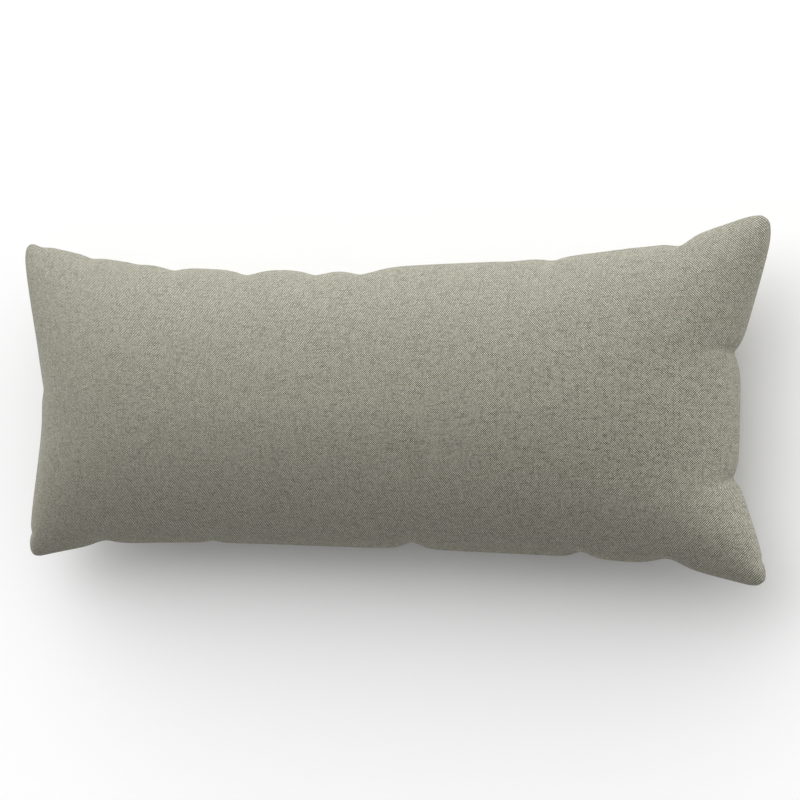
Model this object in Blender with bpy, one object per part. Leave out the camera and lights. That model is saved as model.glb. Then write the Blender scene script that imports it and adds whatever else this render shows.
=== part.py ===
"""An outdoor lumbar cushion lying on its back: two panels of cloth sewn edge to edge and filled plump.

Metres, +Z up. +X is the cushion's width, +Y its height as it stands against a seat, and the front
panel faces up. The origin is under the middle of the cushion, on the surface it lies on.
"""

import math

import bmesh
import bpy
import numpy as np

# The filled cushion over its corner tips, and through its crown before the back is pressed flat
WIDTH = 0.766
HEIGHT = 0.3097
CROWN = 0.138

# How much nearer the middle the lower corners stand than the upper ones
TAPER_LEFT = 0.0068
TAPER_RIGHT = 0.0055

# How far the filling draws each edge in at its middle
DRAW_TOP = 0.0382
DRAW_BOTTOM = 0.0229
DRAW_LEFT = 0.0296
DRAW_RIGHT = 0.0295

# How late along a long edge that drawing-in starts from a corner: 2 is a round bow, more a short ear
BOW_TOP_LEFT = 3.0
BOW_TOP_RIGHT = 3.75
BOW_BOTTOM = 4.15

# Where a short edge is drawn in most, from -1 at its foot to 1 at its head, and the shares of the way
# from each corner that stay at the ear's full width and over which the drawing-in then grows
DIP_LEFT = 0.0
DIP_RIGHT = -0.127
EAR_LEFT = 0.0
EAR_RIGHT = 0.04
GROW_LEFT = 0.87
GROW_RIGHT = 0.68

# The crown along the width: a high power keeps it level and turns it down near the short ends
CROWN_POWER = 5.6

# The section across the height: 1 is an oval, and more thins it towards the seam
SECTION_POWER = 1.35

# Each corner is a soft round ear: how far from the corner its rounding starts, and how late it grows
ROUND_TOP_LEFT = 0.0247
ROUND_TOP_RIGHT = 0.033
ROUND_BOTTOM_LEFT = 0.020
ROUND_BOTTOM_RIGHT = 0.0225
ROUND_POWER = 3

# What the cushion's own weight presses flat on its back, and how softly the flat meets the round
PRESSED = 0.005
PRESS_SOFTNESS = 0.004

# Puckers of the seam: the edge, the place along it from the middle, how deep the cloth is pulled in,
# the half-width of the dent and how far it runs in over the cloth. One with a blunt value is a crease,
# whose sharp bottom is blunt over only that share of its half-width. The two creases of the right end
# also slant along their edge as they run in over the front, and are deepest a little behind the seam.
PUCKERS = (
    {"edge": "top", "place": -0.360, "depth": 0.0032, "spread": 0.0100, "reach": 0.012},
    {"edge": "top", "place": -0.2995, "depth": 0.0026, "spread": 0.0093, "reach": 0.015},
    {"edge": "top", "place": -0.2455, "depth": 0.0014, "spread": 0.0086, "reach": 0.015},
    {"edge": "top", "place": -0.206, "depth": 0.0041, "spread": 0.0140, "reach": 0.018},
    {"edge": "top", "place": -0.123, "depth": 0.0059, "spread": 0.0175, "reach": 0.015},
    {"edge": "top", "place": -0.0495, "depth": 0.0063, "spread": 0.0190, "reach": 0.015},
    {"edge": "top", "place": -0.0014, "depth": 0.0073, "spread": 0.0225, "reach": 0.015},
    {"edge": "top", "place": 0.1445, "depth": 0.0010, "spread": 0.0137, "reach": 0.015},
    {"edge": "top", "place": 0.185, "depth": 0.0034, "spread": 0.0103, "reach": 0.015},
    {"edge": "top", "place": 0.2765, "depth": 0.0018, "spread": 0.0192, "reach": 0.015},
    {"edge": "top", "place": 0.300, "depth": 0.0074, "spread": 0.0123, "reach": 0.018},
    {"edge": "bottom", "place": -0.285, "depth": 0.0054, "spread": 0.0195, "reach": 0.018},
    {"edge": "bottom", "place": -0.161, "depth": 0.0026, "spread": 0.0083, "reach": 0.015},
    {"edge": "bottom", "place": 0.0495, "depth": 0.0070, "spread": 0.0128, "reach": 0.018},
    {"edge": "bottom", "place": 0.212, "depth": 0.0062, "spread": 0.0103, "reach": 0.018},
    {"edge": "bottom", "place": 0.290, "depth": 0.0082, "spread": 0.0195, "reach": 0.018},
    {"edge": "left", "place": 0.0084, "depth": 0.0120, "spread": 0.0065, "reach": 0.026, "blunt": 0.3},
    {"edge": "left", "place": -0.128, "depth": 0.0025, "spread": 0.0045, "reach": 0.012},
    {"edge": "right", "place": 0.0365, "depth": 0.0080, "spread": 0.0070, "reach": 0.030,
     "slant": 0.12, "behind": 0.006, "blunt": 0.2},
    {"edge": "right", "place": -0.0645, "depth": 0.0070, "spread": 0.0045, "reach": 0.026,
     "slant": -0.12, "behind": 0.003, "blunt": 0.5},
    {"edge": "right", "place": -0.130, "depth": 0.0018, "spread": 0.0055, "reach": 0.012},
)

# How quickly a round dent fades to its sides
FADE_POWER = 1.5

# How finely each panel is divided, and how much its columns crowd towards the short ends
COLUMNS = 82
ROWS = 36
CROWDING = 0.14
CROWDING_POWER = 7

# How much closer the rows run by a short end's pucker, over how many of its half-widths, and the number
# of small steps by which their places are found
CLOSER = 5.0
CLOSE_REACH = 2.5
CLOSE_STEPS = 4000

COVER_COLOUR = (0.287, 0.279, 0.231, 1.0)
COVER_ROUGHNESS = 0.9


def column_places():
    """Places along the width from -1 to 1, closer together near the short ends."""
    even = np.linspace(-1.0, 1.0, COLUMNS + 1)
    return (1.0 + CROWDING) * even - CROWDING * even ** CROWDING_POWER


def row_angles():
    """Angles round the cushion's section from foot to head, closer by the puckers of the short ends."""
    fine = np.linspace(-math.pi / 2, math.pi / 2, CLOSE_STEPS + 1)
    closeness = np.ones_like(fine)
    for pucker in PUCKERS:
        if pucker["edge"] in ("left", "right"):
            middle = math.asin(pucker["place"] / (HEIGHT / 2))
            steepness = math.cos(middle)
            width = CLOSE_REACH * pucker["spread"] / (HEIGHT / 2 * steepness)
            closeness += CLOSER * steepness * np.exp(-((fine - middle) / width) ** 2)
    rows_so_far = np.insert(np.cumsum((closeness[1:] + closeness[:-1]) / 2), 0, 0.0)
    return np.interp(np.linspace(0.0, rows_so_far[-1], ROWS + 1), rows_so_far, fine)


def long_bow(place, low_power, high_power):
    """The drawing-in along a long edge: one at its middle and nothing at its corners."""
    power = np.where(place < 0, low_power, high_power)
    return 1.0 - np.abs(place) ** power


def short_bow(place, dip, ear, grow):
    """The drawing-in along a short edge: a straight flank from each ear, eased at both ends."""
    aside = np.abs(place - dip) / np.where(place < dip, 1.0 + dip, 1.0 - dip)
    share = np.clip((1.0 - aside - ear) / grow, 0.0, 1.0)
    eased = share ** 2 * (3.0 - 2.0 * share)
    return (share + eased) / 2


def round_ears(u, v, x, y):
    """Rounds the four corners of the plan, each by its own size."""
    size_left = np.where(v < 0, ROUND_BOTTOM_LEFT, ROUND_TOP_LEFT)
    size_right = np.where(v < 0, ROUND_BOTTOM_RIGHT, ROUND_TOP_RIGHT)
    size = np.where(u < 0, size_left, size_right)
    across = np.clip(1.0 - (1.0 - np.abs(u)) * WIDTH / 2 / size, 0.0, 1.0)
    along = np.clip(1.0 - (1.0 - np.abs(v)) * HEIGHT / 2 / size, 0.0, 1.0)
    less_x = (1.0 - np.sqrt(1.0 - along ** 2 / 2)) * across ** ROUND_POWER
    less_y = (1.0 - np.sqrt(1.0 - across ** 2 / 2)) * along ** ROUND_POWER
    return x - np.sign(x) * size * less_x, y - np.sign(y) * size * less_y


def smooth_panel():
    """Points of the front panel without its puckers, as columns by rows by x, y and z."""
    u, angle = np.meshgrid(column_places(), row_angles(), indexing="ij")
    v = np.sin(angle)
    top_draw = DRAW_TOP * long_bow(u, BOW_TOP_LEFT, BOW_TOP_RIGHT)
    top = HEIGHT / 2 - top_draw
    bottom = -HEIGHT / 2 + DRAW_BOTTOM * long_bow(u, BOW_BOTTOM, BOW_BOTTOM)
    left_draw = DRAW_LEFT * short_bow(v, DIP_LEFT, EAR_LEFT, GROW_LEFT)
    left = -WIDTH / 2 + TAPER_LEFT * (1.0 - v) / 2 + left_draw
    right_draw = DRAW_RIGHT * short_bow(v, DIP_RIGHT, EAR_RIGHT, GROW_RIGHT)
    right = WIDTH / 2 - TAPER_RIGHT * (1.0 - v) / 2 - right_draw
    x = (left * (1.0 - u) + right * (1.0 + u)) / 2
    y = (bottom * (1.0 - v) + top * (1.0 + v)) / 2
    x, y = round_ears(u, v, x, y)
    lengthwise = np.sqrt(np.clip(1.0 - np.abs(u) ** CROWN_POWER, 0.0, None))
    z = CROWN / 2 * lengthwise * np.cos(angle) ** SECTION_POWER
    return np.stack((x, y, z), axis=-1)


def run_from(points, edge):
    """How far each point lies from an edge, measured over the cloth."""
    axis = 1 if edge in ("top", "bottom") else 0
    steps = np.linalg.norm(np.diff(points, axis=axis), axis=-1)
    run = np.insert(np.cumsum(steps, axis=axis), 0, 0.0, axis=axis)
    if edge in ("bottom", "left"):
        return run
    whole = run[:, -1:] if axis == 1 else run[-1:, :]
    return whole - run


def fade(aside, blunt):
    """One on a dent's axis and less to its sides: round, or a crease whose bottom is only so blunt."""
    if blunt is None:
        return 1.0 / (1.0 + aside ** 2) ** FADE_POWER
    return np.exp(blunt - np.sqrt(aside ** 2 + blunt ** 2))


def dents(points, side):
    """How deep the puckers press in each point of the front panel, side 1, or the back panel, side -1."""
    depth = np.zeros(points.shape[:2])
    for pucker in PUCKERS:
        along = points[..., 0] if pucker["edge"] in ("top", "bottom") else points[..., 1]
        run = side * run_from(points, pucker["edge"])
        slanted = pucker.get("slant", 0.0) * np.maximum(run, 0.0)
        aside = (along - pucker["place"] - slanted) / pucker["spread"]
        inward = (run + pucker.get("behind", 0.0)) / pucker["reach"]
        depth += pucker["depth"] * fade(aside, pucker.get("blunt")) * np.exp(-inward ** 2)
    return depth


def lay_flat(form):
    """Sets the back on the surface: its lowest part flat, and the rest rising from it softly."""
    for point in form.verts:
        above = max(0.0, point.co.z + CROWN / 2 - PRESSED)
        point.co.z = above - PRESS_SOFTNESS * (1.0 - math.exp(-above / PRESS_SOFTNESS))


def build_cushion():
    """One closed body: the front panel, the back panel and the seam that they share."""
    panel = smooth_panel()
    depth_front = dents(panel, 1)
    depth_back = dents(panel, -1)
    form = bmesh.new()
    front = {}
    back = {}
    for i in range(COLUMNS + 1):
        for j in range(ROWS + 1):
            on_seam = i in (0, COLUMNS) or j in (0, ROWS)
            front[i, j] = form.verts.new(panel[i, j])
            back[i, j] = front[i, j] if on_seam else form.verts.new(panel[i, j] * (1.0, 1.0, -1.0))
    for i in range(COLUMNS):
        for j in range(ROWS):
            ring = ((i, j), (i + 1, j), (i + 1, j + 1), (i, j + 1))
            form.faces.new([front[place] for place in ring])
            form.faces.new([back[place] for place in reversed(ring)])
    form.normal_update()
    pressed_in = {back[place]: depth_back[place] for place in back}
    pressed_in.update({front[place]: depth_front[place] for place in front})
    moves = [(point, point.normal * pressed_in[point]) for point in form.verts]
    for point, move in moves:
        point.co -= move
    lay_flat(form)
    centre(form)
    return form


def centre(form):
    """Moves the cushion so that its box is centred over the origin."""
    for axis in (0, 1):
        places = [point.co[axis] for point in form.verts]
        middle = (min(places) + max(places)) / 2
        for point in form.verts:
            point.co[axis] -= middle


def finish(form):
    """Makes the cushion's object and gives it its cloth."""
    mesh = bpy.data.meshes.new("cushion")
    form.to_mesh(mesh)
    form.free()
    mesh.shade_smooth()
    cloth = bpy.data.materials.new("cover")
    cloth.use_nodes = True
    shader = cloth.node_tree.nodes["Principled BSDF"]
    shader.inputs["Base Color"].default_value = COVER_COLOUR
    shader.inputs["Roughness"].default_value = COVER_ROUGHNESS
    shader.inputs["Metallic"].default_value = 0.0
    mesh.materials.append(cloth)
    cushion = bpy.data.objects.new("cushion", mesh)
    bpy.context.scene.collection.objects.link(cushion)


def main():
    for old in list(bpy.data.objects):
        bpy.data.objects.remove(old)
    finish(build_cushion())


main()
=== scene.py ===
"""The looks of an outdoor lumbar cushion: its filled cover, its heathered weave, and the studio round it."""

import math

import bmesh
import bpy
import numpy as np
from mathutils import Matrix, Vector


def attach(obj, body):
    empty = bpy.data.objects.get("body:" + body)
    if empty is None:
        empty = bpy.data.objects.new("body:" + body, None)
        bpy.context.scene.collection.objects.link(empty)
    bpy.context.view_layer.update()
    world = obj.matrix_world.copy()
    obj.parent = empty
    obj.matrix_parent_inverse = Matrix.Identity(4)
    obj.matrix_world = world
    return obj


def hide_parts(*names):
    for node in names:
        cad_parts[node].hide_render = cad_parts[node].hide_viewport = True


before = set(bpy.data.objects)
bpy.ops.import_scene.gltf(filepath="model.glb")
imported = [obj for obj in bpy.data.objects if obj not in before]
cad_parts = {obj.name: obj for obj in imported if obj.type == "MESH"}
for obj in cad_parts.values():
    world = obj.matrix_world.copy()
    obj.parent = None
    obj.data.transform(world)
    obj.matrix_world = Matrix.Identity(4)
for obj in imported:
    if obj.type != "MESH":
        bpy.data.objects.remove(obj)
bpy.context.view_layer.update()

# The filled cushion over its corner tips, and through its crown before the back is pressed flat
WIDTH = 0.766
HEIGHT = 0.3097
CROWN = 0.138

# How much nearer the middle the lower corners stand than the upper ones
TAPER_LEFT = 0.0068
TAPER_RIGHT = 0.0055

# How far the filling draws each edge in at its middle
DRAW_TOP = 0.0382
DRAW_BOTTOM = 0.0229
DRAW_LEFT = 0.0296
DRAW_RIGHT = 0.0295

# How late along a long edge that drawing-in starts from a corner: 2 is a round bow, more a short ear
BOW_TOP_LEFT = 3.0
BOW_TOP_RIGHT = 3.75
BOW_BOTTOM = 4.15

# Where a short edge is drawn in most, from -1 at its foot to 1 at its head, and the shares of the way
# from each corner that stay at the ear's full width and over which the drawing-in then grows
DIP_LEFT = 0.0
DIP_RIGHT = -0.127
EAR_LEFT = 0.0
EAR_RIGHT = 0.04
GROW_LEFT = 0.87
GROW_RIGHT = 0.68

# The crown along the width: a high power keeps it level and turns it down near the short ends
CROWN_POWER = 5.6

# The section across the height: 1 is an oval, and more thins it towards the seam
SECTION_POWER = 1.35

# Each corner is a soft round ear: how far from the corner its rounding starts, and how late it grows
ROUND_TOP_LEFT = 0.0247
ROUND_TOP_RIGHT = 0.033
ROUND_BOTTOM_LEFT = 0.020
ROUND_BOTTOM_RIGHT = 0.0225
ROUND_POWER = 3

# What the cushion's own weight presses flat on its back, and how softly the flat meets the round
PRESSED = 0.005
PRESS_SOFTNESS = 0.004

# Puckers of the seam: the edge, the place along it from the middle, how deep the cloth is pulled in,
# the half-width of the dent and how far it runs in over the cloth. One with a blunt value is a crease,
# whose sharp bottom is blunt over only that share of its half-width. The two creases of the right end
# also slant along their edge as they run in over the front, and are deepest a little behind the seam.
PUCKERS = (
    {"edge": "top", "place": -0.360, "depth": 0.0032, "spread": 0.0100, "reach": 0.012},
    {"edge": "top", "place": -0.2995, "depth": 0.0026, "spread": 0.0093, "reach": 0.015},
    {"edge": "top", "place": -0.2455, "depth": 0.0014, "spread": 0.0086, "reach": 0.015},
    {"edge": "top", "place": -0.206, "depth": 0.0041, "spread": 0.0140, "reach": 0.018},
    {"edge": "top", "place": -0.123, "depth": 0.0059, "spread": 0.0175, "reach": 0.015},
    {"edge": "top", "place": -0.0495, "depth": 0.0063, "spread": 0.0190, "reach": 0.015},
    {"edge": "top", "place": -0.0014, "depth": 0.0073, "spread": 0.0225, "reach": 0.015},
    {"edge": "top", "place": 0.1445, "depth": 0.0010, "spread": 0.0137, "reach": 0.015},
    {"edge": "top", "place": 0.185, "depth": 0.0034, "spread": 0.0103, "reach": 0.015},
    {"edge": "top", "place": 0.2765, "depth": 0.0018, "spread": 0.0192, "reach": 0.015},
    {"edge": "top", "place": 0.300, "depth": 0.0074, "spread": 0.0123, "reach": 0.018},
    {"edge": "bottom", "place": -0.285, "depth": 0.0054, "spread": 0.0195, "reach": 0.018},
    {"edge": "bottom", "place": -0.161, "depth": 0.0026, "spread": 0.0083, "reach": 0.015},
    {"edge": "bottom", "place": 0.0495, "depth": 0.0070, "spread": 0.0128, "reach": 0.018},
    {"edge": "bottom", "place": 0.212, "depth": 0.0062, "spread": 0.0103, "reach": 0.018},
    {"edge": "bottom", "place": 0.290, "depth": 0.0082, "spread": 0.0195, "reach": 0.018},
    {"edge": "left", "place": 0.0084, "depth": 0.0120, "spread": 0.0065, "reach": 0.026, "blunt": 0.3},
    {"edge": "left", "place": -0.128, "depth": 0.0025, "spread": 0.0045, "reach": 0.012},
    {"edge": "right", "place": 0.0365, "depth": 0.0080, "spread": 0.0070, "reach": 0.030,
     "slant": 0.12, "behind": 0.006, "blunt": 0.2},
    {"edge": "right", "place": -0.0645, "depth": 0.0070, "spread": 0.0045, "reach": 0.026,
     "slant": -0.12, "behind": 0.003, "blunt": 0.5},
    {"edge": "right", "place": -0.130, "depth": 0.0018, "spread": 0.0055, "reach": 0.012},
)

# How quickly a round dent fades to its sides
FADE_POWER = 1.5

# How finely each panel is divided, and how much its columns crowd towards the short ends
COLUMNS = 140
ROWS = 88
CROWDING = 0.14
CROWDING_POWER = 7

# How much closer the rows run by a short end's pucker, over how many of its half-widths, and the number
# of small steps by which their places are found
CLOSER = 5.0
CLOSE_REACH = 2.5
CLOSE_STEPS = 4000

# The filling's push on the cover: the share of its crown that the cover starts from, the pressure, how
# finely and over how many frames it acts, and the most that a point may move
FILL_START = 0.985
FILL_PRESSURE = 4.0
FILL_QUALITY = 8
FILL_FRAMES = 20
FILL_MOVE = 0.002

# The points of the seam lie this near the middle plane
SEAM_CLOSE = 0.00001

# The weave: one yarn's width, the colours of the warp and the weft, how many yarns' widths they wander off
# their lines and over what length, and how far and over what length their contrast varies
YARN = 0.000945
WARP_COLOUR = (0.574, 0.561, 0.475, 1.0)
WEFT_COLOUR = (0.051, 0.048, 0.026, 1.0)
WANDER = 0.9
WANDER_LENGTH = 0.010
PATCHINESS = 3.0
PATCH_LENGTH = 0.005

# How much the tone varies from crossing to crossing and with the cloth's soft mottling, how long and how
# fine that mottling is, and how much painted shade darkens each yarn towards its edges and the gaps between
# (the yarns)
CROSSING_TONE = 0.41
MOTTLE_TONE = 0.13
MOTTLE_LENGTH = 0.0045
MOTTLE_DETAIL = 2.0
YARN_PAINTED_SHADE = 0.5

# The slubs: how dark they are, the share of that in the warp, their length, the level of the noise where
# one starts, how steeply it does, how a yarn's differ from the next yarn's, and where the two noises start
SLUB_TONE = 0.185
WARP_SLUB_SHARE = 0.8
SLUB_LENGTH = 0.010
SLUB_START = 0.60
SLUB_STEEPNESS = 8.0
SLUB_SHIFT = 7.31
WEFT_SEED = 11.3
WARP_SEED = 3.7

# The cloth's sheen and its fine relief, and how many times its finished mesh is divided
CLOTH_ROUGHNESS = 0.95
CLOTH_SPECULAR = 0.1
CLOTH_SHEEN = 0.15
SHEEN_COLOUR = (1.0, 0.97, 0.8, 1.0)
SHEEN_ROUGHNESS = 0.5
RELIEF_DEPTH = 0.0002
RELIEF_STRENGTH = 0.5
SMOOTHING_LEVELS = 1

# The camera: turned from the face's normal towards the right end, how far it stands from the point it looks
# at, near the cushion's middle, and its lens and sensor in millimetres
VIEW_TURN = math.radians(30.0)
VIEW_DISTANCE = 2.0286
VIEW_TARGET = Vector((0.0366, -0.0002, 0.060))
LENS = 104.45
SENSOR = 36.0

# The studio's soft dome of light: its colour, its even part, how much brighter it grows towards the
# cushion's top edge, the low glow at each end, and how narrow those glows are
DOME_COLOUR = (1.0, 1.0, 1.0, 1.0)
DOME_EVEN = 0.3
DOME_TOP = 3.35
GLOW_RIGHT = 4.0
GLOW_LEFT = 3.4
GLOW_SHARPNESS = 16.0

# The pale matt floor
FLOOR_SIZE = 20.0
FLOOR_COLOUR = (0.93, 0.93, 0.93, 1.0)
FLOOR_ROUGHNESS = 1.0
FLOOR_SPECULAR = 0.0

# The Mix node's sockets for two colours and for their mixture, which share their names with others
MIX_FIRST = 6
MIX_SECOND = 7
MIX_RESULT = 2

# How the nodes are laid out: how many stand in a row, and their steps across and down
NODES_IN_ROW = 12
NODE_ACROSS = 180
NODE_DOWN = 220


def column_places():
    """Places along the width from -1 to 1, closer together near the short ends."""
    even = np.linspace(-1.0, 1.0, COLUMNS + 1)
    return (1.0 + CROWDING) * even - CROWDING * even ** CROWDING_POWER


def row_angles():
    """Angles round the cushion's section from foot to head, closer by the puckers of the short ends."""
    fine = np.linspace(-math.pi / 2, math.pi / 2, CLOSE_STEPS + 1)
    closeness = np.ones_like(fine)
    for pucker in PUCKERS:
        if pucker["edge"] in ("left", "right"):
            middle = math.asin(pucker["place"] / (HEIGHT / 2))
            steepness = math.cos(middle)
            width = CLOSE_REACH * pucker["spread"] / (HEIGHT / 2 * steepness)
            closeness += CLOSER * steepness * np.exp(-((fine - middle) / width) ** 2)
    rows_so_far = np.insert(np.cumsum((closeness[1:] + closeness[:-1]) / 2), 0, 0.0)
    return np.interp(np.linspace(0.0, rows_so_far[-1], ROWS + 1), rows_so_far, fine)


def long_bow(place, low_power, high_power):
    """The drawing-in along a long edge: one at its middle and nothing at its corners."""
    power = np.where(place < 0, low_power, high_power)
    return 1.0 - np.abs(place) ** power


def short_bow(place, dip, ear, grow):
    """The drawing-in along a short edge: a straight flank from each ear, eased at both ends."""
    aside = np.abs(place - dip) / np.where(place < dip, 1.0 + dip, 1.0 - dip)
    share = np.clip((1.0 - aside - ear) / grow, 0.0, 1.0)
    eased = share ** 2 * (3.0 - 2.0 * share)
    return (share + eased) / 2


def round_ears(u, v, x, y):
    """Rounds the four corners of the plan, each by its own size."""
    size_left = np.where(v < 0, ROUND_BOTTOM_LEFT, ROUND_TOP_LEFT)
    size_right = np.where(v < 0, ROUND_BOTTOM_RIGHT, ROUND_TOP_RIGHT)
    size = np.where(u < 0, size_left, size_right)
    across = np.clip(1.0 - (1.0 - np.abs(u)) * WIDTH / 2 / size, 0.0, 1.0)
    along = np.clip(1.0 - (1.0 - np.abs(v)) * HEIGHT / 2 / size, 0.0, 1.0)
    less_x = (1.0 - np.sqrt(1.0 - along ** 2 / 2)) * across ** ROUND_POWER
    less_y = (1.0 - np.sqrt(1.0 - across ** 2 / 2)) * along ** ROUND_POWER
    return x - np.sign(x) * size * less_x, y - np.sign(y) * size * less_y


def smooth_panel():
    """Points of the front panel without its puckers, as columns by rows by x, y and z."""
    u, angle = np.meshgrid(column_places(), row_angles(), indexing="ij")
    v = np.sin(angle)
    top_draw = DRAW_TOP * long_bow(u, BOW_TOP_LEFT, BOW_TOP_RIGHT)
    top = HEIGHT / 2 - top_draw
    bottom = -HEIGHT / 2 + DRAW_BOTTOM * long_bow(u, BOW_BOTTOM, BOW_BOTTOM)
    left_draw = DRAW_LEFT * short_bow(v, DIP_LEFT, EAR_LEFT, GROW_LEFT)
    left = -WIDTH / 2 + TAPER_LEFT * (1.0 - v) / 2 + left_draw
    right_draw = DRAW_RIGHT * short_bow(v, DIP_RIGHT, EAR_RIGHT, GROW_RIGHT)
    right = WIDTH / 2 - TAPER_RIGHT * (1.0 - v) / 2 - right_draw
    x = (left * (1.0 - u) + right * (1.0 + u)) / 2
    y = (bottom * (1.0 - v) + top * (1.0 + v)) / 2
    x, y = round_ears(u, v, x, y)
    lengthwise = np.sqrt(np.clip(1.0 - np.abs(u) ** CROWN_POWER, 0.0, None))
    z = CROWN / 2 * lengthwise * np.cos(angle) ** SECTION_POWER
    return np.stack((x, y, z), axis=-1)


def run_along(points, axis):
    """How far each point lies from the first along its row or column, measured over the cloth."""
    steps = np.linalg.norm(np.diff(points, axis=axis), axis=-1)
    return np.insert(np.cumsum(steps, axis=axis), 0, 0.0, axis=axis)


def run_from(points, edge):
    """How far each point lies from an edge, measured over the cloth."""
    axis = 1 if edge in ("top", "bottom") else 0
    run = run_along(points, axis)
    if edge in ("bottom", "left"):
        return run
    whole = run[:, -1:] if axis == 1 else run[-1:, :]
    return whole - run


def fade(aside, blunt):
    """One on a dent's axis and less to its sides: round, or a crease whose bottom is only so blunt."""
    if blunt is None:
        return 1.0 / (1.0 + aside ** 2) ** FADE_POWER
    return np.exp(blunt - np.sqrt(aside ** 2 + blunt ** 2))


def dents(points, side):
    """How deep the puckers press in each point of the front panel, side 1, or the back panel, side -1."""
    depth = np.zeros(points.shape[:2])
    for pucker in PUCKERS:
        along = points[..., 0] if pucker["edge"] in ("top", "bottom") else points[..., 1]
        run = side * run_from(points, pucker["edge"])
        slanted = pucker.get("slant", 0.0) * np.maximum(run, 0.0)
        aside = (along - pucker["place"] - slanted) / pucker["spread"]
        inward = (run + pucker.get("behind", 0.0)) / pucker["reach"]
        depth += pucker["depth"] * fade(aside, pucker.get("blunt")) * np.exp(-inward ** 2)
    return depth


def cloth_places(points):
    """Each point's place on its panel as cut, in metres from the panel's middle."""
    along_width = run_along(points, 0)
    along_height = run_along(points, 1)
    across = along_width - along_width[-1:] / 2
    up = along_height - along_height[:, -1:] / 2
    return np.stack((across, up), axis=-1)


def new_cover(crown_share):
    """The cover's mesh: two panels that share their seam, with the cloth's places as its UV map."""
    panel = smooth_panel() * (1.0, 1.0, crown_share)
    depth_front = dents(panel, 1)
    depth_back = dents(panel, -1)
    cut = cloth_places(panel)
    form = bmesh.new()
    cloth_map = form.loops.layers.uv.new("cloth")
    front = {}
    back = {}
    for i in range(COLUMNS + 1):
        for j in range(ROWS + 1):
            on_seam = i in (0, COLUMNS) or j in (0, ROWS)
            front[i, j] = form.verts.new(panel[i, j])
            back[i, j] = front[i, j] if on_seam else form.verts.new(panel[i, j] * (1.0, 1.0, -1.0))
    for i in range(COLUMNS):
        for j in range(ROWS):
            ring = ((i, j), (i + 1, j), (i + 1, j + 1), (i, j + 1))
            for points, order in ((front, ring), (back, tuple(reversed(ring)))):
                face = form.faces.new([points[place] for place in order])
                face.smooth = True
                for loop, place in zip(face.loops, order):
                    loop[cloth_map].uv = cut[place]
    form.normal_update()
    pressed_in = {back[place]: depth_back[place] for place in back}
    pressed_in.update({front[place]: depth_front[place] for place in front})
    moves = [(point, point.normal * pressed_in[point]) for point in form.verts]
    for point, move in moves:
        point.co -= move
    mesh = bpy.data.meshes.new("cover")
    form.to_mesh(mesh)
    form.free()
    cover = bpy.data.objects.new("cover", mesh)
    bpy.context.scene.collection.objects.link(cover)
    return cover


def read_points(mesh):
    """A mesh's points, one row each."""
    points = np.empty(len(mesh.vertices) * 3)
    mesh.vertices.foreach_get("co", points)
    return points.reshape(-1, 3)


def write_points(mesh, points):
    """Puts a mesh's points where the rows say."""
    mesh.vertices.foreach_set("co", points.ravel())
    mesh.update()


def hold_seam(cover):
    """Names the points of the seam, which its stitching holds while the panels fill."""
    seam = cover.vertex_groups.new(name="seam")
    heights = read_points(cover.data)[:, 2]
    on_seam = np.flatnonzero(np.abs(heights) < SEAM_CLOSE)
    seam.add(on_seam.tolist(), 1.0, "REPLACE")
    return seam


def fill_cover(cover):
    """Fills the cover by simulated cloth under pressure, and keeps a capped share of the movement."""
    before = read_points(cover.data)
    seam = hold_seam(cover)
    filling = cover.modifiers.new("filling", "CLOTH")
    filling.settings.quality = FILL_QUALITY
    filling.settings.use_pressure = True
    filling.settings.uniform_pressure_force = FILL_PRESSURE
    filling.settings.effector_weights.gravity = 0.0
    filling.settings.vertex_group_mass = seam.name
    filling.point_cache.frame_start = 1
    filling.point_cache.frame_end = FILL_FRAMES
    for moment in range(1, FILL_FRAMES + 1):
        bpy.context.scene.frame_set(moment)
    filled = cover.evaluated_get(bpy.context.evaluated_depsgraph_get())
    moves = read_points(filled.data) - before
    cover.modifiers.remove(filling)
    cover.vertex_groups.remove(seam)
    bpy.context.scene.frame_set(1)
    lengths = np.linalg.norm(moves, axis=1, keepdims=True)
    write_points(cover.data, before + moves * np.minimum(1.0, FILL_MOVE / np.maximum(lengths, FILL_MOVE)))


def lay_flat(cover):
    """Sets the back on the surface, its lowest part flat and the rest rising softly, over the origin."""
    points = read_points(cover.data)
    above = np.maximum(0.0, points[:, 2] + CROWN / 2 - PRESSED)
    points[:, 2] = above - PRESS_SOFTNESS * (1.0 - np.exp(-above / PRESS_SOFTNESS))
    middle = (points.min(axis=0) + points.max(axis=0)) / 2
    points[:, :2] -= middle[:2]
    write_points(cover.data, points)


def add_smoothing(piece):
    """Divides the piece's mesh smoothly, the same in the view and in the render."""
    smoothing = piece.modifiers.new("smoothing", "SUBSURF")
    smoothing.levels = SMOOTHING_LEVELS
    smoothing.render_levels = SMOOTHING_LEVELS
    smoothing.uv_smooth = "PRESERVE_BOUNDARIES"


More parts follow.
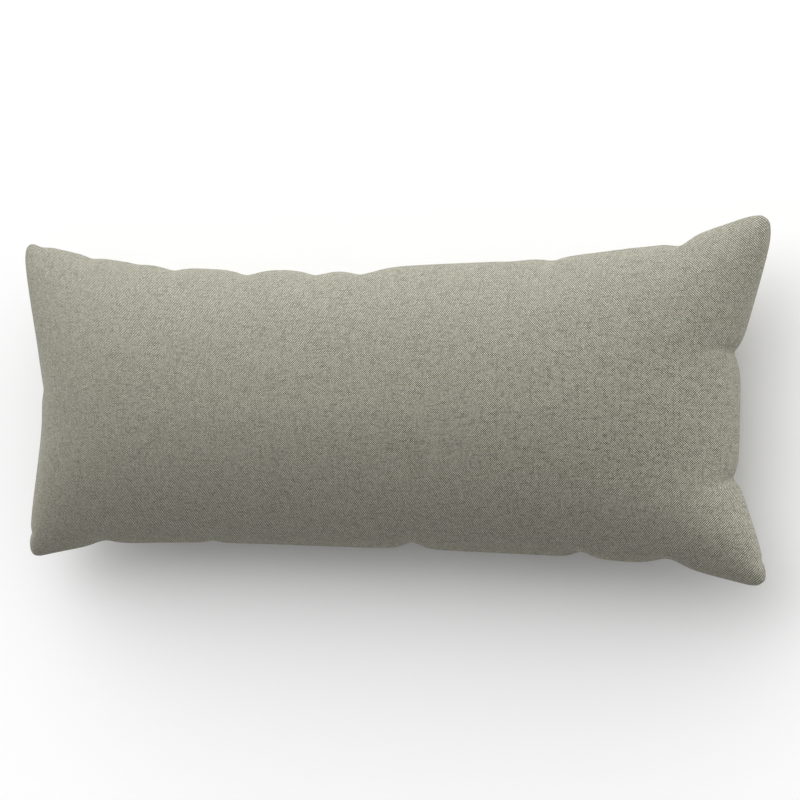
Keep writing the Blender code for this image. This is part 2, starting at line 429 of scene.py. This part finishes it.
class Nodes:
    """Adds nodes to a tree in reading order and links them."""

    def __init__(self, tree):
        self.tree = tree

    def fill(self, socket, value):
        """Links a socket to another node's, or gives it a value."""
        if isinstance(value, bpy.types.NodeSocket):
            self.tree.links.new(value, socket)
        else:
            socket.default_value = value

    def add(self, kind, settings=None, **inputs):
        """A new node with its settings and named inputs."""
        node = self.tree.nodes.new(kind)
        row, column = divmod(len(self.tree.nodes), NODES_IN_ROW)
        node.location = (NODE_ACROSS * column, -NODE_DOWN * row)
        for name, value in (settings or {}).items():
            setattr(node, name, value)
        for name, value in inputs.items():
            self.fill(node.inputs[name.replace("_", " ")], value)
        return node

    def math(self, operation, *values):
        """One step of arithmetic on one or two values."""
        node = self.add("ShaderNodeMath", {"operation": operation})
        for socket, value in zip(node.inputs, values):
            self.fill(socket, value)
        return node.outputs[0]

    def around(self, value, amount):
        """A value from 0 to 1 turned into one from minus half the amount to plus half of it."""
        return self.math("MULTIPLY", self.math("SUBTRACT", value, 0.5), amount)

    def vector(self, x, y, z=0.0):
        """Three values as one vector."""
        return self.add("ShaderNodeCombineXYZ", X=x, Y=y, Z=z).outputs[0]

    def scaled(self, vector, factor):
        """A vector or a colour multiplied by one factor."""
        node = self.add("ShaderNodeVectorMath", {"operation": "SCALE"}, Scale=factor)
        self.fill(node.inputs[0], vector)
        return node.outputs[0]


def new_group(name, inputs, outputs):
    """A shader node group with named sockets, and its first and last node."""
    group = bpy.data.node_groups.new(name, "ShaderNodeTree")
    for label, kind, value in inputs:
        socket = group.interface.new_socket(label, in_out="INPUT", socket_type=kind)
        if value is not None:
            socket.default_value = value
    for label, kind in outputs:
        group.interface.new_socket(label, in_out="OUTPUT", socket_type=kind)
    start = group.nodes.new("NodeGroupInput")
    end = group.nodes.new("NodeGroupOutput")
    return group, start, end


def plain_noise(nodes, place, detail):
    """Smooth noise whose bumps are about one unit wide, with as many finer layers as detail says."""
    settings = {"noise_dimensions": "3D"}
    return nodes.add("ShaderNodeTexNoise", settings, Vector=place, Scale=1.0, Detail=detail)


def soft_noise(nodes, place, length, detail=1.0):
    """Smooth noise over the cloth whose bumps are about a length wide, as a colour and a value."""
    place_in_lengths = nodes.scaled(place, nodes.math("DIVIDE", 1.0, length))
    return plain_noise(nodes, place_in_lengths, detail)


def slubs(nodes, along, yarn_index, length, seed):
    """Where a yarn has a slub: nothing over most of its length, and up to one for a short way."""
    own_line = nodes.math("MULTIPLY", yarn_index, SLUB_SHIFT)
    place = nodes.vector(nodes.math("DIVIDE", along, length), own_line, seed)
    noise = plain_noise(nodes, place, 0.0)
    over = nodes.math("MAXIMUM", nodes.math("SUBTRACT", noise.outputs["Fac"], SLUB_START), 0.0)
    return nodes.math("MINIMUM", nodes.math("MULTIPLY", over, SLUB_STEEPNESS), 1.0)


def weave_group():
    """Plain weave of uneven yarns: which is on top, how high it stands, how light it is, and painted shade
    at its edges.
    """
    group, start, end = new_group(
        "Plain weave",
        (
            ("Cloth", "NodeSocketVector", None),
            ("Yarn", "NodeSocketFloat", YARN),
            ("Warp colour", "NodeSocketColor", WARP_COLOUR),
            ("Weft colour", "NodeSocketColor", WEFT_COLOUR),
            ("Wander", "NodeSocketFloat", WANDER),
            ("Wander length", "NodeSocketFloat", WANDER_LENGTH),
            ("Patchiness", "NodeSocketFloat", PATCHINESS),
            ("Patch length", "NodeSocketFloat", PATCH_LENGTH),
            ("Crossing tone", "NodeSocketFloat", CROSSING_TONE),
            ("Slub tone", "NodeSocketFloat", SLUB_TONE),
            ("Warp slub share", "NodeSocketFloat", WARP_SLUB_SHARE),
            ("Slub length", "NodeSocketFloat", SLUB_LENGTH),
            ("Mottle tone", "NodeSocketFloat", MOTTLE_TONE),
            ("Mottle length", "NodeSocketFloat", MOTTLE_LENGTH),
            ("Yarn painted shade", "NodeSocketFloat", YARN_PAINTED_SHADE),
        ),
        (("Colour", "NodeSocketColor"), ("Height", "NodeSocketFloat")),
    )
    nodes = Nodes(group)
    given = start.outputs
    drift = soft_noise(nodes, given["Cloth"], given["Wander length"])
    drift_parts = nodes.add("ShaderNodeSeparateColor", Color=drift.outputs["Color"])
    place = nodes.add("ShaderNodeSeparateXYZ", Vector=given["Cloth"])
    lines = []
    for axis, channel in (("X", "Red"), ("Y", "Green")):
        even = nodes.math("DIVIDE", place.outputs[axis], given["Yarn"])
        off = nodes.around(drift_parts.outputs[channel], given["Wander"])
        lines.append(nodes.math("ADD", even, off))
    across, up = lines
    warp_index = nodes.math("FLOOR", across)
    weft_index = nodes.math("FLOOR", up)
    warp_on_top = nodes.math("FLOORED_MODULO", nodes.math("ADD", warp_index, weft_index), 2.0)
    across_round = nodes.math("SINE", nodes.math("MULTIPLY", nodes.math("FRACT", across), math.pi))
    up_round = nodes.math("SINE", nodes.math("MULTIPLY", nodes.math("FRACT", up), math.pi))
    height = nodes.math("SQRT", nodes.math("MULTIPLY", across_round, up_round))

    crossing_place = nodes.vector(warp_index, weft_index)
    crossing = nodes.add("ShaderNodeTexWhiteNoise", {"noise_dimensions": "2D"}, Vector=crossing_place)
    crossing_tone = nodes.around(crossing.outputs["Value"], given["Crossing tone"])
    weft_slubs = slubs(nodes, place.outputs["X"], weft_index, given["Slub length"], WEFT_SEED)
    warp_slubs = slubs(nodes, place.outputs["Y"], warp_index, given["Slub length"], WARP_SEED)
    fainter = nodes.math("MULTIPLY", warp_slubs, given["Warp slub share"])
    slub_tone = nodes.math("MULTIPLY", nodes.math("MAXIMUM", weft_slubs, fainter), given["Slub tone"])
    mottle = soft_noise(nodes, given["Cloth"], given["Mottle length"], MOTTLE_DETAIL)
    mottle_tone = nodes.around(mottle.outputs["Fac"], given["Mottle tone"])
    # Painted shade: each yarn's colour darkens towards its low edges and the gaps beside it, where its round
    # top would be shaded
    painted_yarn_shade = nodes.math("MULTIPLY", nodes.math("SUBTRACT", height, 1.0), given["Yarn painted shade"])

    patch = soft_noise(nodes, given["Cloth"], given["Patch length"])
    contrast = nodes.math("ADD", nodes.around(patch.outputs["Fac"], given["Patchiness"]), 1.0)
    own_share = nodes.math("ADD", nodes.around(warp_on_top, contrast), 0.5)
    yarn_colour = nodes.add("ShaderNodeMix", {"data_type": "RGBA"}, Factor=own_share)
    nodes.fill(yarn_colour.inputs[MIX_FIRST], given["Weft colour"])
    nodes.fill(yarn_colour.inputs[MIX_SECOND], given["Warp colour"])
    tone = nodes.math("ADD", nodes.math("SUBTRACT", crossing_tone, slub_tone), mottle_tone)
    lighter = nodes.math("ADD", tone, 1.0)
    # The yarn's colour times its random tone and its painted shade
    factor = nodes.math("MULTIPLY", lighter, nodes.math("ADD", painted_yarn_shade, 1.0))
    nodes.fill(end.inputs["Colour"], nodes.scaled(yarn_colour.outputs[MIX_RESULT], factor))
    nodes.fill(end.inputs["Height"], height)
    return group


def cover_material():
    """Matt heathered outdoor cloth."""
    material = bpy.data.materials.new("cover cloth")
    material.use_nodes = True
    tree = material.node_tree
    nodes = Nodes(tree)
    shader = tree.nodes["Principled BSDF"]
    cloth = nodes.add("ShaderNodeUVMap", {"uv_map": "cloth"})
    weave = nodes.add("ShaderNodeGroup", {"node_tree": weave_group()}, Cloth=cloth.outputs["UV"])
    height = weave.outputs["Height"]
    bump = nodes.add("ShaderNodeBump", Height=height, Distance=RELIEF_DEPTH, Strength=RELIEF_STRENGTH)
    nodes.fill(shader.inputs["Base Color"], weave.outputs["Colour"])
    nodes.fill(shader.inputs["Normal"], bump.outputs["Normal"])
    shader.inputs["Roughness"].default_value = CLOTH_ROUGHNESS
    shader.inputs["Specular IOR Level"].default_value = CLOTH_SPECULAR
    shader.inputs["Sheen Weight"].default_value = CLOTH_SHEEN
    shader.inputs["Sheen Roughness"].default_value = SHEEN_ROUGHNESS
    shader.inputs["Sheen Tint"].default_value = SHEEN_COLOUR
    return material


def make_cushion():
    """The filled cover, which stands for the CAD solid."""
    cover = new_cover(crown_share=FILL_START)
    fill_cover(cover)
    lay_flat(cover)
    add_smoothing(cover)
    cover.data.materials.append(cover_material())
    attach(cover, "root")
    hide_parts("cushion")


def make_floor():
    """A plain pale floor."""
    bpy.ops.object.select_all(action="DESELECT")
    bpy.ops.mesh.primitive_plane_add(size=FLOOR_SIZE, location=(0.0, 0.0, 0.0))
    floor = bpy.context.object
    floor.name = "floor"
    material = bpy.data.materials.new("floor")
    material.use_nodes = True
    shader = material.node_tree.nodes["Principled BSDF"]
    shader.inputs["Base Color"].default_value = FLOOR_COLOUR
    shader.inputs["Roughness"].default_value = FLOOR_ROUGHNESS
    shader.inputs["Specular IOR Level"].default_value = FLOOR_SPECULAR
    floor.data.materials.append(material)


def make_light():
    """A soft dome of light, brighter from the cushion's top edge, with low soft glows at its ends."""
    world = bpy.data.worlds.new("studio")
    bpy.context.scene.world = world
    world.use_nodes = True
    tree = world.node_tree
    nodes = Nodes(tree)
    background = tree.nodes["Background"]
    background.inputs["Color"].default_value = DOME_COLOUR
    direction = nodes.add("ShaderNodeTexCoord")
    parts = nodes.add("ShaderNodeSeparateXYZ", Vector=direction.outputs["Generated"])
    top = nodes.math("MULTIPLY", nodes.math("MAXIMUM", parts.outputs["Y"], 0.0), DOME_TOP)
    strength = nodes.math("ADD", top, DOME_EVEN)
    for side, glow in ((1.0, GLOW_RIGHT), (-1.0, GLOW_LEFT)):
        towards = nodes.math("MAXIMUM", nodes.math("MULTIPLY", parts.outputs["X"], side), 0.0)
        lobe = nodes.math("MULTIPLY", nodes.math("POWER", towards, GLOW_SHARPNESS), glow)
        strength = nodes.math("ADD", strength, lobe)
    nodes.fill(background.inputs["Strength"], strength)


def make_camera():
    """The photograph's view: across the face from the right, with the top edge up."""
    lens = bpy.data.cameras.new("camera")
    lens.lens = LENS
    lens.sensor_width = SENSOR
    camera = bpy.data.objects.new("camera", lens)
    bpy.context.scene.collection.objects.link(camera)
    back = Vector((math.sin(VIEW_TURN), 0.0, math.cos(VIEW_TURN)))
    right = Vector((math.cos(VIEW_TURN), 0.0, -math.sin(VIEW_TURN)))
    up = Vector((0.0, 1.0, 0.0))
    turn = Matrix((right, up, back)).transposed()
    camera.matrix_world = Matrix.Translation(VIEW_TARGET + back * VIEW_DISTANCE) @ turn.to_4x4()
    bpy.context.scene.camera = camera


make_cushion()
make_floor()
make_light()
make_camera()
bpy.context.scene.view_settings.view_transform = "Standard"
